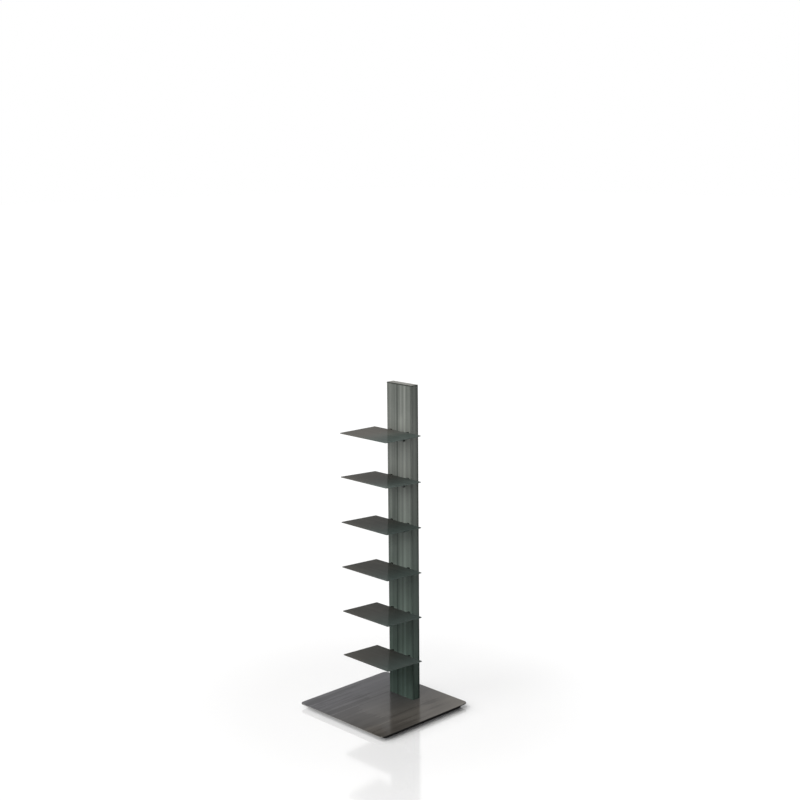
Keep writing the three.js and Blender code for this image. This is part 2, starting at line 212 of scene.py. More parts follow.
def burnishedSteel(name, finish):
    material = newMaterial(name)
    tree = material.node_tree
    place = addNode(tree, "ShaderNodeTexCoord", {}, {}).outputs["Object"]
    axes = addNode(tree, "ShaderNodeSeparateXYZ", {}, {0: place}).outputs

    def patch(spot):  # the spot's tone at its middle, fading to nothing at its half width
        level = spot["tone"]
        for axis in (axis for axis in "XYZ" if axis in spot):
            at, halfWidth = (size * mm for size in spot[axis])
            line = axes[axis]
            if axis == "X" and "lean" in spot:
                line = addNode(tree, "ShaderNodeMath", {"operation": "MULTIPLY_ADD"},
                               {0: axes["Z"], 1: -spot["lean"], 2: line}).outputs[0]
            off = addNode(tree, "ShaderNodeMath", {"operation": "SUBTRACT"}, {0: line, 1: at})
            off = addNode(tree, "ShaderNodeMath", {"operation": "ABSOLUTE"}, {0: off.outputs[0]})
            level = addNode(tree, "ShaderNodeMapRange", {"interpolation_type": "SMOOTHSTEP"},
                            {"Value": off.outputs[0], "From Min": 0, "From Max": halfWidth,
                             "To Min": level, "To Max": 0}).outputs[0]
        return level

    noises, tone = {}, 0
    for layer, grain in brushedLayers.items():
        width = finish[layer + "Width"]
        length = finish.get(layer + "Length", width)
        scale = [1 / (length if axis == finish["brushedAlong"] else width) for axis in "XYZ"]
        shift = finish.get(layer + "Shift", (0, 0, 0))
        spread = addNode(tree, "ShaderNodeMapping", {}, {"Vector": place, "Scale": scale, "Location": shift})
        noises[layer] = addNode(tree, "ShaderNodeTexNoise", {},
                                {"Vector": spread.outputs[0], "Scale": 1, **grain}).outputs[0]
        depth = finish[layer + "Depth"]
        change = addNode(tree, "ShaderNodeMapRange", {}, {"Value": noises[layer], "From Min": noiseLow,
                                                          "From Max": noiseHigh, "To Min": -depth,
                                                          "To Max": depth})
        tone = addNode(tree, "ShaderNodeMath", {"operation": "ADD"}, {0: tone, 1: change.outputs[0]}).outputs[0]
    for spot in finish["spots"]:  # a band or patch drawn darker or lighter: streaks along the brushing, and painted light and shade where marked
        tone = addNode(tree, "ShaderNodeMath", {"operation": "ADD"}, {0: tone, 1: patch(spot)}).outputs[0]
    for names, slope in finish.get("drift", {}).items():  # along one axis, or along the product of two
        way = axes[names[0]]
        for other in names[1:]:
            way = addNode(tree, "ShaderNodeMath", {"operation": "MULTIPLY"}, {0: way, 1: axes[other]}).outputs[0]
        tone = addNode(tree, "ShaderNodeMath", {"operation": "MULTIPLY_ADD"},
                       {0: way, 1: slope, 2: tone}).outputs[0]

    share = addNode(tree, "ShaderNodeMath", {"operation": "ADD", "use_clamp": True},
                    {0: tone, 1: finish["middleTone"]})
    colour = addNode(tree, "ShaderNodeMix", {"data_type": "RGBA"},
                     {0: share.outputs[0], 6: linearColour(finish["dark"]), 7: linearColour(finish["light"])})
    if "hue" in finish:  # a tint that changes from one side to the other; on the column and shelves it is painted reflected light
        hue = finish["hue"]
        side = addNode(tree, "ShaderNodeMapRange", {}, {"Value": axes[hue["axis"]], "From Min": hue["from"],
                                                        "From Max": hue["to"]})
        tint = addNode(tree, "ShaderNodeMix", {"data_type": "RGBA"},
                       {0: side.outputs[0], 6: linearColour(hue["start"]), 7: linearColour(hue["end"])})
        colour = addNode(tree, "ShaderNodeMix", {"data_type": "RGBA", "blend_type": "MULTIPLY"},
                         {0: 1, 6: colour.outputs[2], 7: tint.outputs[2]})
    if "paintedShade" in finish:  # painted shade: black where the spots bring the tone below its range
        black = addNode(tree, "ShaderNodeMapRange", {}, {"Value": tone, "From Min": paintedShadeTo, "From Max": paintedShadeFrom,
                                                         "To Min": 1, "To Max": 0})
        colour = addNode(tree, "ShaderNodeMix", {"data_type": "RGBA"},
                         {0: black.outputs[0], 6: colour.outputs[2], 7: linearColour(finish["paintedShade"])})
    for axis, rim in finish.get("paintedRims", {}).items():  # painted shade and painted light: a rim colour on the faces that look along the axis
        normal = addNode(tree, "ShaderNodeNewGeometry", {}, {}).outputs["Normal"]
        facing = addNode(tree, "ShaderNodeSeparateXYZ", {}, {0: normal}).outputs[axis]
        facing = addNode(tree, "ShaderNodeMath", {"operation": "ABSOLUTE"}, {0: facing})
        onPaintedRim = addNode(tree, "ShaderNodeMapRange", {}, {"Value": facing.outputs[0], "From Min": rimFrom,
                                                         "From Max": rimTo})
        colour = addNode(tree, "ShaderNodeMix", {"data_type": "RGBA"},
                         {0: onPaintedRim.outputs[0], 6: colour.outputs[2], 7: linearColour(rim)})

    lacquer = finish["lacquer"]
    if "thinLacquer" in finish:  # a patch with less lacquer, so that it mirrors less
        lacquer = addNode(tree, "ShaderNodeMath", {"operation": "SUBTRACT"},
                          {0: lacquer, 1: patch(finish["thinLacquer"])}).outputs[0]
    rough = addNode(tree, "ShaderNodeMapRange", {}, {"Value": noises["line"], "From Min": noiseLow,
                                                     "From Max": noiseHigh,
                                                     "To Min": finish["roughness"] - polishSwing,
                                                     "To Max": finish["roughness"] + polishSwing})
    grooves = addNode(tree, "ShaderNodeBump", {}, {"Height": noises["line"], "Strength": finish["grooveStrength"],
                                                   "Distance": finish["grooveDepth"]})
    shader = addNode(tree, "ShaderNodeBsdfPrincipled", {},
                     {"Base Color": colour.outputs[2], "Metallic": finish["metallic"],
                      "Roughness": rough.outputs[0], "Normal": grooves.outputs[0],
                      "Specular IOR Level": finish["sheen"], "Specular Tint": linearColour(finish["edgeTint"]),
                      "Coat Weight": lacquer, "Coat Roughness": finish["lacquerRoughness"]})
    addNode(tree, "ShaderNodeOutputMaterial", {}, {"Surface": shader.outputs[0]})
    return material


# In a spot, each axis has the middle and the half width, in mm. A spot without an axis runs on along it.

streakLean = 0.0075  # the column's streaks lean to the right by this share of the height

columnFinish = {
    "dark": "#434744", "light": "#7a7e7a", "middleTone": 0.5, "metallic": 0.1, "roughness": 0.42, "sheen": 0,
    "edgeTint": "#808080", "lacquer": 0.1, "lacquerRoughness": 0.12, "brushedAlong": "Z",
    "bandWidth": 7 * mm, "bandLength": 900 * mm, "bandDepth": 0.1,
    "lineWidth": 1.8 * mm, "lineLength": 220 * mm, "lineDepth": 0.09,
    "cloudWidth": 90 * mm, "cloudDepth": 0.05,
    "grooveStrength": 0.15, "grooveDepth": 0.1 * mm,
    "spots": [
        {"tone": 0.05, "X": (-46.4, 6), "lean": streakLean},  # streaks, from left to right
        {"tone": 0.17, "X": (-40.4, 6), "lean": streakLean},
        {"tone": -0.24, "X": (-22, 13), "Z": (580, 160)},
        {"tone": -0.42, "X": (-14.4, 5), "lean": streakLean},
        {"tone": 0.28, "X": (-0.4, 7), "lean": streakLean},
        {"tone": 0.2, "X": (8, 16), "Z": (842, 30)},
        {"tone": 0.5, "X": (15.6, 8), "lean": streakLean},
        {"tone": 0.12, "X": (20, 16), "Z": (330, 220)},
        {"tone": 0.24, "X": (27, 20), "Z": (520, 220)},
        {"tone": 0.12, "X": (34.6, 7), "lean": streakLean},
        {"tone": -0.2, "X": (46.5, 4)},
        {"tone": -0.22, "Z": (960, 200)},  # painted shade: the top darker
        {"tone": -0.4, "X": (-50.5, 3), "Y": (72, 3)},  # painted shade along the folds
        {"tone": -0.5, "X": (50.5, 3), "Y": (72, 4)},
        {"tone": 0.15, "X": (50.5, 1), "Y": (83, 8)},  # painted light and shade on the right side: lighter in its middle, darker at its rear edge and its foot
        {"tone": -0.55, "X": (50.5, 1), "Y": (96, 5)},
        {"tone": -0.25, "X": (50.5, 1), "Z": (0, 300)},
    ],
    # painted reflected light: greener towards the foot
    "hue": {"axis": "Z", "from": 50 * mm, "to": 700 * mm, "start": "#e2fff6", "end": "#ffffff"},
}
capFinish = dict(
    columnFinish, dark="#585b58", light="#8f918d", brushedAlong="X", lineLength=60 * mm, paintedShade="#343734",
    # painted shade along the front and side edges, where the cap meets the channel, and painted light in the
    # middle towards the rear
    spots=[{"tone": -2.2, "Y": (72, 3)},
           {"tone": -2, "X": (50.5, 2.5)},
           {"tone": 0.3, "X": (0, 30), "Y": (90, 12)}])
baseFinish = {
    "dark": "#3b3b3b", "light": "#7c7c7c", "middleTone": 0.4, "metallic": 0.3, "roughness": 0.4, "sheen": 0,
    "edgeTint": "#404040", "lacquer": 0.45, "lacquerRoughness": 0.14, "brushedAlong": "Y",
    "bandWidth": 20 * mm, "bandLength": 420 * mm, "bandShift": (3, 0, 0), "bandDepth": 0.1,
    "lineWidth": 3 * mm, "lineLength": 160 * mm, "lineDepth": 0.05,
    "cloudWidth": 90 * mm, "cloudDepth": 0.05,
    "grooveStrength": 0.1, "grooveDepth": 0.1 * mm,
    "spots": [
        {"tone": 0.04, "X": (170, 90), "Y": (150, 120)},
        {"tone": -0.17, "X": (110, 70), "Y": (100, 60)},
        {"tone": 0.12, "X": (40, 90), "Y": (-50, 60)},
        {"tone": -0.07, "X": (-150, 70), "Y": (-130, 60)},
        # painted light at the front corner, where the lacquer is thinner and mirrors less
        {"tone": 0.26, "X": (130, 75), "Y": (-155, 55)},
        {"tone": 0.12, "X": (20, 110), "Y": (20, 150)},
        {"tone": 0.12, "X": (-70, 8)},
        {"tone": 0.12, "X": (-38, 6)},
        {"tone": -0.1, "X": (-52, 7)},
        {"tone": -0.08, "X": (-110, 14)},
    ],
    "drift": {"X": -0.5, "Y": 1.05, "XY": 4.2},  # painted light and shade across the plate: tone for each metre, or square metre
    "hue": {"axis": "X", "from": -100 * mm, "to": 110 * mm, "start": "#f6f7ff", "end": "#fff8ec"},
    # painted shade on the rims that face along X, painted light on those that face along Y
    "paintedRims": {"X": "#0c0c0b", "Y": "#a4a4a2"},
    "thinLacquer": {"tone": 0.32, "X": (130, 75), "Y": (-155, 55)},
}
shelfFinish = {
    "dark": "#454c49", "light": "#555b58", "middleTone": 0.5, "metallic": 0.28, "roughness": 0.4, "sheen": 0,
    "edgeTint": "#6a4c42", "lacquer": 0.14, "lacquerRoughness": 0.1, "brushedAlong": "X",
    "bandWidth": 14 * mm, "bandLength": 260 * mm, "bandDepth": 0.2,
    "lineWidth": 1.6 * mm, "lineLength": 60 * mm, "lineDepth": 0.1,
    "cloudWidth": 60 * mm, "cloudDepth": 0.2,
    "grooveStrength": 0.1, "grooveDepth": 0.05 * mm,
    "spots": [
        {"tone": -1.5, "Y": (73, 9)},  # painted shade along the rear edge and the tabs, where they meet the column
        {"tone": 0.45, "Z": (822, 25)},  # painted light and shade: each shelf made lighter or darker on its own
        {"tone": 0.45, "Z": (689, 25)},
        {"tone": -0.3, "Z": (555, 25)},
        {"tone": -0.2, "Z": (421, 25)},
        {"tone": 0.3, "Z": (154, 25)},
        # painted reflection: the top shelf darker on its right, where it mirrors the column
        {"tone": -0.8, "X": (62, 60), "Z": (822, 25)},
    ],
    "paintedShade": "#151817",
    # painted reflected light: warmer on the left, greener on the right where the shelf mirrors the column
    "hue": {"axis": "X", "from": -30 * mm, "to": 70 * mm, "start": "#ffeeea", "end": "#f6ffff"},
}


# Grainy finishes: a fine grain moves the light a little, and a wider cloud keeps the colour from being even.
# The real grains are 0.1 to 0.4 mm wide. They are drawn 0.6 to 1.5 mm wide, since finer ones don't show.

grainSwing = 0.06  # how far the grain moves the roughness


def grainyFinish(name, finish):
    material = newMaterial(name)
    tree = material.node_tree
    place = addNode(tree, "ShaderNodeTexCoord", {}, {}).outputs["Object"]
    grain, cloud = (addNode(tree, "ShaderNodeTexNoise", {},
                            {"Vector": place, "Scale": 1 / width, "Detail": 2, "Roughness": 0.5}).outputs[0]
                    for width in (finish["grainWidth"], finish["cloudWidth"]))
    share = addNode(tree, "ShaderNodeMapRange", {}, {"Value": cloud, "From Min": noiseLow, "From Max": noiseHigh})
    colour = addNode(tree, "ShaderNodeMix", {"data_type": "RGBA"},
                     {0: share.outputs[0], 6: linearColour(finish["dark"]), 7: linearColour(finish["light"])})
    rough = addNode(tree, "ShaderNodeMapRange", {}, {"Value": grain, "From Min": noiseLow, "From Max": noiseHigh,
                                                     "To Min": finish["roughness"] - grainSwing,
                                                     "To Max": finish["roughness"] + grainSwing})
    relief = addNode(tree, "ShaderNodeBump", {}, {"Height": grain, "Strength": finish["grainStrength"],
                                                  "Distance": finish["grainDepth"]})
    shader = addNode(tree, "ShaderNodeBsdfPrincipled", {},
                     {"Base Color": colour.outputs[2], "Metallic": finish["metallic"],
                      "Roughness": rough.outputs[0], "Normal": relief.outputs[0],
                      "Specular IOR Level": finish["sheen"]})
    addNode(tree, "ShaderNodeOutputMaterial", {}, {"Surface": shader.outputs[0]})
    return material


# Sprayed on folded steel and baked: dark grey and satin, with a broad soft highlight
bracketFinish = {"dark": "#2f3330", "light": "#3b403c", "metallic": 0.3, "roughness": 0.5, "sheen": 0.5,
                 "grainWidth": 1.2 * mm, "grainStrength": 0.3, "grainDepth": 0.03 * mm, "cloudWidth": 25 * mm}
# Powder baked on thick steel: black and matt, with hardly any highlight
ballastFinish = {"dark": "#070707", "light": "#101010", "metallic": 0, "roughness": 0.6, "sheen": 0.06,
                 "grainWidth": 1.2 * mm, "grainStrength": 0.5, "grainDepth": 0.06 * mm, "cloudWidth": 60 * mm}
# Nylon from a spark-eroded mould: black and dull, with a fine even texture
glideFinish = {"dark": "#0a0a0a", "light": "#131313", "metallic": 0, "roughness": 0.65, "sheen": 0.15,
               "grainWidth": 0.8 * mm, "grainStrength": 0.4, "grainDepth": 0.04 * mm, "cloudWidth": 8 * mm}
# Zinc plate turned black in a bath: a dark metal that still mirrors a little
screwFinish = {"dark": "#1d1e1f", "light": "#2e2f31", "metallic": 1, "roughness": 0.4, "sheen": 0.5,
               "grainWidth": 0.6 * mm, "grainStrength": 0.2, "grainDepth": 0.02 * mm, "cloudWidth": 4 * mm}
# Steel as it comes from the mill: grey scale with cloudy patches
insideFinish = {"dark": "#4c4d4f", "light": "#66686a", "metallic": 1, "roughness": 0.5, "sheen": 0.5,
                "grainWidth": 1.5 * mm, "grainStrength": 0.3, "grainDepth": 0.04 * mm, "cloudWidth": 30 * mm}

capSteel = burnishedSteel("burnishedSteelCap", capFinish)
slotMaterials = {
    "base": burnishedSteel("burnishedSteelBase", baseFinish),
    "column": burnishedSteel("burnishedSteelColumn", columnFinish),
    "shelf": burnishedSteel("burnishedSteelShelf", shelfFinish),
    "bracket": grainyFinish("satinLacquerBracket", bracketFinish),
    "ballast": grainyFinish("powderCoatBallast", ballastFinish),
    "glide": grainyFinish("mouldedNylonGlide", glideFinish),
    "fastener": grainyFinish("blackZincScrew", screwFinish),
    "inner": grainyFinish("millSteelInside", insideFinish),
}
for subpart in frame["record"]["subparts"]:
    node = nodes[subpart["node"]]
    node.data.materials.clear()
    node.data.materials.append(slotMaterials[subpart["material_slot"]])
print("materials made")


# Base plate: one sheet with wide round corners and lightly broken edges

basePlate = {
    "cornerRadius": 14 * mm, "cornerSteps": 16, "edgeRadius": 0.4 * mm, "edgeSteps": 3,
    "boltHole": 4.2 * mm, "boltSides": (-32 * mm, 0, 32 * mm), "boltLine": 85.5 * mm,
    "tappedHole": 2.7 * mm, "tappedDepth": 2.1 * mm,
}
cornerNames = ("front_left", "front_right", "rear_left", "rear_right")


def middle(node):
    low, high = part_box(node)
    return (low + high) / 2


def makeBasePlate():
    low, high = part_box("base_plate")
    sheet = addBox("basePlateSheet", low, high)
    roundEdges(sheet, upright, basePlate["cornerRadius"], basePlate["cornerSteps"])
    roundEdges(sheet, atHeights(low.z, high.z), basePlate["edgeRadius"], basePlate["edgeSteps"])
    cutters = [addDrum("boltHole", (x, basePlate["boltLine"], low.z - overrun), basePlate["boltHole"], sheetCut)
               for x in basePlate["boltSides"]]
    for corner in cornerNames:
        screw = middle("ballast_screw_" + corner)
        cutters.append(addDrum("tappedHole", (screw.x, screw.y, low.z - overrun), basePlate["tappedHole"],
                               overrun + basePlate["tappedDepth"]))
    cutAway(sheet, cutters)
    standFor(sheet, "base_plate", "base")


makeBasePlate()
print("base plate made")


# Ballast plate: thick steel, drilled and countersunk from below, its edges softened by the coat

ballastPlate = {
    "cornerRadius": 6 * mm, "cornerSteps": 8, "edgeRadius": 0.7 * mm, "edgeSteps": 3,
    "glideHole": 3.3 * mm, "boltHole": 4.2 * mm, "boltSink": 6.8 * mm, "boltSinkDepth": 4.8 * mm,
    "screwHole": 2.7 * mm, "screwSink": 6.817 * mm, "screwSinkDepth": 2.8 * mm,
}


def makeBallastPlate():
    low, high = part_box("ballast_plate")
    plate = addBox("ballastSlab", low, high)
    roundEdges(plate, upright, ballastPlate["cornerRadius"], ballastPlate["cornerSteps"])
    roundEdges(plate, atHeights(low.z, high.z), ballastPlate["edgeRadius"], ballastPlate["edgeSteps"])
    under = low.z - overrun
    through = high.z - low.z + 2 * overrun
    sinks, holes = [], []
    for corner in cornerNames:
        glide = middle("levelling_glide_" + corner)
        screw = middle("ballast_screw_" + corner)
        holes.append(addDrum("glideHole", (glide.x, glide.y, under), ballastPlate["glideHole"], through))
        holes.append(addDrum("screwHole", (screw.x, screw.y, under), ballastPlate["screwHole"], through))
        sinks.append(addDrum("screwSink", (screw.x, screw.y, under), ballastPlate["screwSink"],
                             overrun + ballastPlate["screwSinkDepth"], topRadius=ballastPlate["screwHole"]))
    for x in basePlate["boltSides"]:
        place = (x, basePlate["boltLine"], under)
        holes.append(addDrum("boltHole", place, ballastPlate["boltHole"], through))
        sinks.append(addDrum("boltSink", place, ballastPlate["boltSink"],
                             overrun + ballastPlate["boltSinkDepth"]))
    cutAway(plate, sinks)
    cutAway(plate, holes)
    standFor(plate, "ballast_plate", "ballast")


makeBallastPlate()
print("ballast plate made")


# Levelling glides: a moulded pad, rounded at both rims, on a stud with a thread

levellingGlide = {
    "padRadius": 9.5 * mm, "padHeight": 2.5 * mm, "rimRadius": 0.6 * mm, "rimSteps": 3,
    "studRadius": 3 * mm, "studLength": 7 * mm, "threadPitch": 1 * mm, "threadDepth": 0.35 * mm,
}


def makeGlides():
    pad = addDrum("glidePad", (0, 0, 0), levellingGlide["padRadius"], levellingGlide["padHeight"], sides=64)
    top = levellingGlide["padHeight"]
    roundEdges(pad, atHeights(0, top), levellingGlide["rimRadius"], levellingGlide["rimSteps"])
    pick(pad, "FACE", lambda face: face.normal.z > square and face.calc_center_median().z > top - tiny)
    rim = levellingGlide["padRadius"] - levellingGlide["rimRadius"]
    core = levellingGlide["studRadius"] - levellingGlide["threadDepth"]
    bpy.ops.mesh.inset(thickness=rim - core)
    half = levellingGlide["threadPitch"] / 2
    grow = levellingGlide["studRadius"] / core
    for _ in range(round(levellingGlide["studLength"] / levellingGlide["threadPitch"])):  # a groove and a crest
        bpy.ops.mesh.extrude_region_move(TRANSFORM_OT_translate={"value": (0, 0, half)})
        bpy.ops.transform.resize(value=(grow, grow, 1))
        bpy.ops.mesh.extrude_region_move(TRANSFORM_OT_translate={"value": (0, 0, half)})
        bpy.ops.transform.resize(value=(1 / grow, 1 / grow, 1))
    bpy.ops.object.mode_set(mode="OBJECT")
    for corner in cornerNames:
        node = "levelling_glide_" + corner
        spot = middle(node)
        glide = copyPiece(pad, "glide_" + corner, (spot.x, spot.y, 0))
        standFor(glide, node, "glide", body="glide_" + corner)
    bpy.data.objects.remove(pad, do_unlink=True)


makeGlides()
print("glides made")


# Screws: a head with a six-sided socket on a plain shank, modelled once for each size and copied

screwSizes = {
    "ballast": {"headRadius": 5 * mm, "headHeight": 2.4 * mm, "shankRadius": 2.4 * mm, "length": 10 * mm,
                "flatHead": True},
    "cover": {"headRadius": 4.4 * mm, "headHeight": 1.6 * mm, "shankRadius": 2.4 * mm, "length": 10.4 * mm,
              "flatHead": True},
    "foot": {"headRadius": 6.5 * mm, "headHeight": 4.4 * mm, "shankRadius": 3.9 * mm, "length": 19 * mm,
             "flatHead": False},
}
screwShare = {"socketWidth": 0.5, "socketDepth": 0.5, "rim": 0.04}  # of the head's radius and height
rimSteps = 2  # of the small rounded rims of screws, back cover and tabs


def makeScrew(name, size):
    top = size["shankRadius"] if size["flatHead"] else size["headRadius"]
    screw = addDrum(name, (0, 0, 0), size["headRadius"], size["headHeight"], topRadius=top)
    roundEdges(screw, atHeights(0), size["headRadius"] * screwShare["rim"], rimSteps)
    pick(screw, "FACE", lambda face: face.normal.z > square)
    if not size["flatHead"]:
        bpy.ops.mesh.inset(thickness=size["headRadius"] - size["shankRadius"])
    bpy.ops.mesh.extrude_region_move(
        TRANSFORM_OT_translate={"value": (0, 0, size["length"] - size["headHeight"])})
    bpy.ops.object.mode_set(mode="OBJECT")
    socketDepth = size["headHeight"] * screwShare["socketDepth"]
    cutAway(screw, [addDrum("socket", (0, 0, -overrun), size["headRadius"] * screwShare["socketWidth"],
                            overrun + socketDepth, sides=6)])
    return screw


def makeScrews():
    ballastScrew = makeScrew("ballastScrew", screwSizes["ballast"])
    for corner in cornerNames:
        node = "ballast_screw_" + corner
        spot = middle(node)
        screw = copyPiece(ballastScrew, "ballastScrew_" + corner, (spot.x, spot.y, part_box(node)[0].z))
        standFor(screw, node, "fastener")
    footBolt = makeScrew("footBolt", screwSizes["foot"])
    for number in (1, 2, 3):
        node = "foot_bolt_%d" % number
        spot = middle(node)
        bolt = copyPiece(footBolt, "footBolt_%d" % number, (spot.x, spot.y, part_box(node)[0].z))
        standFor(bolt, node, "fastener")
    coverScrew = makeScrew("coverScrew", screwSizes["cover"])
    for row in (1, 2, 3, 4):
        for side in ("left", "right"):
            node = "cover_screw_%d_%s" % (row, side)
            spot = middle(node)
            screw = copyPiece(coverScrew, "coverScrew_%d_%s" % (row, side),
                              (spot.x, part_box(node)[1].y, spot.z), turn=(math.pi / 2, 0, 0))
            standFor(screw, node, "fastener")
    for screw in (ballastScrew, footBolt, coverScrew):
        bpy.data.objects.remove(screw, do_unlink=True)


makeScrews()
print("screws made")


# Column: a channel folded from one sheet, slotted for the shelves' tabs

columnChannel = {
    "wall": 2 * mm, "bendRadius": 3 * mm, "bendSteps": 6, "shelfGap": 7 * mm, "bracketDrop": 29.5 * mm,
    "slotHalfWidth": 4.7 * mm, "slotHeightGap": 0.5 * mm, "screwHole": 2.7 * mm, "screwSide": 7.5 * mm,
    "screwDrop": 15 * mm,
}
shelfSheet = {
    "width": 189 * mm, "depth": 136 * mm, "thickness": 2.5 * mm, "cornerRadius": 1 * mm, "cornerSteps": 3,
    "edgeRadius": 0.35 * mm, "edgeSteps": 2, "tabHalfWidth": 3.5 * mm, "tabOffset": 34.5 * mm,
    "tabLength": 15 * mm, "tabCorner": 1 * mm, "rise": math.radians(2.9), "topRise": math.radians(0.5),
}
shelfNumbers = (1, 2, 3, 4, 5, 6)


def shelfPlace(number):  # where the middle of a shelf's rear upper edge is, and how much its front rises
    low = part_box("shelf_bracket_%d" % number)[0]
    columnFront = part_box("column_shell")[0].y
    rise = shelfSheet["topRise"] if number == 1 else shelfSheet["rise"]
    return (0, columnFront - columnChannel["shelfGap"], low.z + columnChannel["bracketDrop"]), rise


def makeColumnChannel():
    low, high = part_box("column_shell")
    channel = addBox("columnChannel", low, high)
    pick(channel, "FACE", lambda face: face.normal.y > square or abs(face.normal.z) > square)
    bpy.ops.mesh.delete(type="FACE")  # what is left is the front and the two sides
    bpy.ops.object.mode_set(mode="OBJECT")
    roundEdges(channel, lambda edge: upright(edge) and edge.verts[0].co.y < low.y + tiny,
               columnChannel["bendRadius"], columnChannel["bendSteps"])
    wall = channel.modifiers.new("wall", "SOLIDIFY")
    wall.thickness = columnChannel["wall"]
    wall.offset = -1
    wall.use_even_offset = True
    bpy.ops.object.modifier_apply(modifier=wall.name)
    cutters = []
    for number in shelfNumbers:
        (_, rearY, rearZ), rise = shelfPlace(number)
        gap = columnChannel["slotHeightGap"]
        slotTop = rearZ - columnChannel["shelfGap"] * math.tan(rise) + gap
        slotFoot = (rearZ - (columnChannel["shelfGap"] + columnChannel["wall"]) * math.tan(rise)
                    - shelfSheet["thickness"] / math.cos(rise) - gap)
        for side in (-1, 1):
            x = side * shelfSheet["tabOffset"]
            half = columnChannel["slotHalfWidth"]
            cutters.append(addBox("slot", (x - half, low.y - overrun, slotFoot),
                                  (x + half, low.y + columnChannel["wall"] + overrun, slotTop)))
            cutters.append(addDrum("screwHole", (side * columnChannel["screwSide"], low.y - overrun,
                                                 rearZ - columnChannel["screwDrop"]),
                                   columnChannel["screwHole"], columnChannel["wall"] + 2 * overrun, sides=24,
                                   turn=(-math.pi / 2, 0, 0)))
    cutAway(channel, cutters)
    standFor(channel, "column_shell", "column")


makeColumnChannel()
print("column channel made")


# Back cover: a flat sheet, countersunk for its screws

backCover = {
    "edgeRadius": 0.8 * mm, "edgeSteps": 3, "rimRadius": 0.3 * mm, "screwHole": 2.7 * mm,
    "screwSink": 6.45 * mm, "screwSinkDepth": 2 * mm,
}


def makeBackCover():
    low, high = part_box("column_back_cover")
    cover = addBox("backCoverSheet", low, high)
    roundEdges(cover, upright, backCover["edgeRadius"], backCover["edgeSteps"])
    roundEdges(cover, atHeights(low.z, high.z), backCover["rimRadius"], rimSteps)
    sinks, holes = [], []
    for row in (1, 2, 3, 4):
        for side in ("left", "right"):
            spot = middle("cover_screw_%d_%s" % (row, side))
            place = (spot.x, high.y + overrun, spot.z)
            sinks.append(addDrum("sink", place, backCover["screwSink"], overrun + backCover["screwSinkDepth"],
                                 topRadius=backCover["screwHole"], turn=(math.pi / 2, 0, 0)))
            holes.append(addDrum("hole", place, backCover["screwHole"], sheetCut, turn=(math.pi / 2, 0, 0)))
    cutAway(cover, sinks)
    cutAway(cover, holes)
    standFor(cover, "column_back_cover", "column")


makeBackCover()
print("back cover made")


# Cap: a flat plate with a plug that sits inside the channel

columnCap = {"thickness": 2.5 * mm, "plugInset": 2.3 * mm, "cornerRadius": 1.5 * mm, "cornerSteps": 4,
             "plugCorner": 2.5 * mm, "rimRadius": 0.4 * mm, "rimSteps": 2}


def makeCap():
    low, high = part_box("column_cap")
    plateFoot = high.z - columnCap["thickness"]
    cap = addBox("capPlate", (low.x, low.y, plateFoot), high)
    pick(cap, "FACE", lambda face: face.normal.z < -square)
    bpy.ops.mesh.inset(thickness=columnCap["plugInset"])
    bpy.ops.mesh.extrude_region_move(TRANSFORM_OT_translate={"value": (0, 0, low.z - plateFoot)})
    bpy.ops.object.mode_set(mode="OBJECT")
    roundEdges(cap, lambda edge: upright(edge) and edge.verts[0].co.x ** 2 > (high.x - tiny) ** 2,
               columnCap["cornerRadius"], columnCap["cornerSteps"])
    roundEdges(cap, lambda edge: upright(edge) and min(corner.co.z for corner in edge.verts) < low.z + tiny,
               columnCap["plugCorner"], columnCap["cornerSteps"])
    roundEdges(cap, atHeights(high.z), columnCap["rimRadius"], columnCap["rimSteps"])
    standFor(cap, "column_cap", "column", material=capSteel)


makeCap()
print("cap made")


# Shelves: a sheet with two tabs at its rear edge, tilted up a little at the front

def makeShelf(number):
    half = shelfSheet["width"] / 2
    sheet = addBox("shelfSheet_%d" % number, (-half, -shelfSheet["depth"], -shelfSheet["thickness"]),
                   (half, 0, 0))
    for side in (-1, 1):
        for edge in (-1, 1):
            pick(sheet, "FACE", lambda face: True)
            x = side * shelfSheet["tabOffset"] + edge * shelfSheet["tabHalfWidth"]
            bpy.ops.mesh.bisect(plane_co=(x, 0, 0), plane_no=(1, 0, 0))
    bpy.ops.object.mode_set(mode="OBJECT")

    def tabRoot(face):
        x = abs(face.calc_center_median().x)
        return face.normal.y > square and abs(x - shelfSheet["tabOffset"]) < shelfSheet["tabHalfWidth"] / 2

    pick(sheet, "FACE", tabRoot)
    bpy.ops.mesh.extrude_region_move(TRANSFORM_OT_translate={"value": (0, shelfSheet["tabLength"], 0)})
    bpy.ops.mesh.select_all(action="SELECT")
    bpy.ops.mesh.dissolve_limited(angle_limit=flatAngle)
    bpy.ops.object.mode_set(mode="OBJECT")
    roundEdges(sheet, lambda edge: upright(edge) and abs(edge.verts[0].co.x) > half - tiny,
               shelfSheet["cornerRadius"], shelfSheet["cornerSteps"])
    roundEdges(sheet, lambda edge: upright(edge) and edge.verts[0].co.y > shelfSheet["tabLength"] - tiny,
               shelfSheet["tabCorner"], rimSteps)
    roundEdges(sheet, atHeights(0, -shelfSheet["thickness"]), shelfSheet["edgeRadius"], shelfSheet["edgeSteps"])
    place, rise = shelfPlace(number)
    sheet.location = place
    sheet.rotation_euler = (-rise, 0, 0)
    settlePlace(sheet)
    standFor(sheet, "shelf_%d" % number, "shelf")


for number in shelfNumbers:
    makeShelf(number)
print("shelves made")


# Brackets: two cheeks and a web, folded from one sheet, and welded under the shelf

shelfBracket = {
    "width": 46 * mm, "thickness": 2.5 * mm, "reach": 46 * mm, "nose": 3 * mm, "topDrop": 6 * mm,
    "setback": 1 * mm, "footLength": 4 * mm, "seatGap": 0.3 * mm, "curveShare": 0.35,
    "foldRadius": 2.5 * mm, "foldSteps": 4,
}


